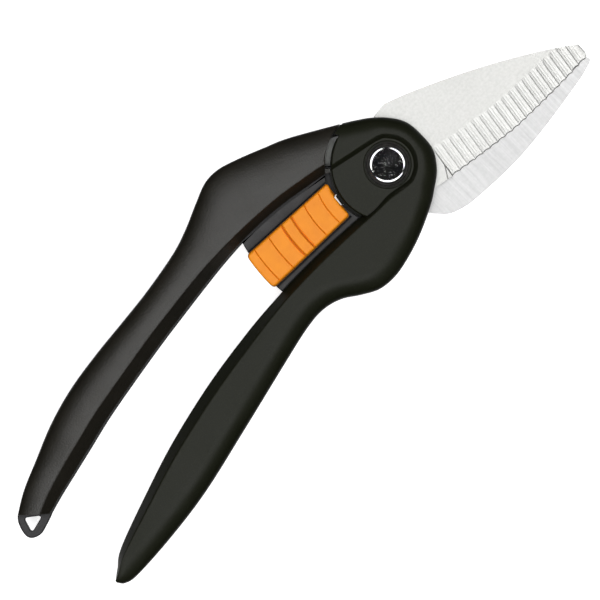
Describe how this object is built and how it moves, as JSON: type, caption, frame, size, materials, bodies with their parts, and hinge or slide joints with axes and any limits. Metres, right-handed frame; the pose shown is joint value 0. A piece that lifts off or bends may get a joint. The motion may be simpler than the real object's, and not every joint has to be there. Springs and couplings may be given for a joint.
{
  "type": "garden snips",
  "caption": "One-hand garden snips: two half-lapped handles on a riveted pivot, a fluted blade passing a plain blade, an inner return spring and a ribbed sliding lock.",
  "frame": {"origin": "centre of the pivot's flat rear face", "axes": "+X along the tool to the blade tips, +Y to the upper handle, +Z out of the front face, along the pivot"},
  "size_m": [0.2112, 0.0659, 0.0172],
  "materials": {
    "core": "matt grey-black glass-filled nylon",
    "lower_shell": "satin black nylon, smooth",
    "upper_shell": "black nylon with a fine matt grain",
    "blade_steel": "brushed stainless steel, ground flutes",
    "pivot_chrome": "polished chrome plate",
    "spring_steel": "plain drawn steel",
    "lock_orange": "satin orange plastic"
  },
  "bodies": {
    "lower_handle": {"lower_handle_core": "core", "lower_handle_front_shell": "lower_shell", "lower_handle_rear_shell": "lower_shell", "upper_blade": "blade_steel", "upper_blade_pin_1": "spring_steel", "upper_blade_pin_2": "spring_steel", "pivot_rivet": "pivot_chrome", "pivot_sleeve": "pivot_chrome", "pivot_washer_front": "spring_steel", "pivot_washer_rear": "spring_steel", "return_spring": "spring_steel", "lock_detent_spring": "spring_steel"},
    "upper_handle": {"upper_handle_core": "core", "upper_handle_front_shell": "upper_shell", "upper_handle_rear_shell": "upper_shell", "lower_blade": "blade_steel", "lower_blade_pin_1": "spring_steel", "lower_blade_pin_2": "spring_steel"},
    "lock_slider": {"lock_slider_front": "lock_orange", "lock_slider_rear": "lock_orange", "lock_stem": "lock_orange"}
  },
  "joints": [
    {"name": "handle_open", "type": "hinge", "parent": "lower_handle", "child": "upper_handle", "pos_m": [0, 0, 0], "axis": [0, 0, -1], "range_deg": [0, 27], "deforming": ["return_spring"]},
    {"name": "lock_slide", "type": "slide", "parent": "lower_handle", "child": "lock_slider", "axis": [-0.998, 0.063, 0], "range_m": [0, 0.006]}
  ]
}
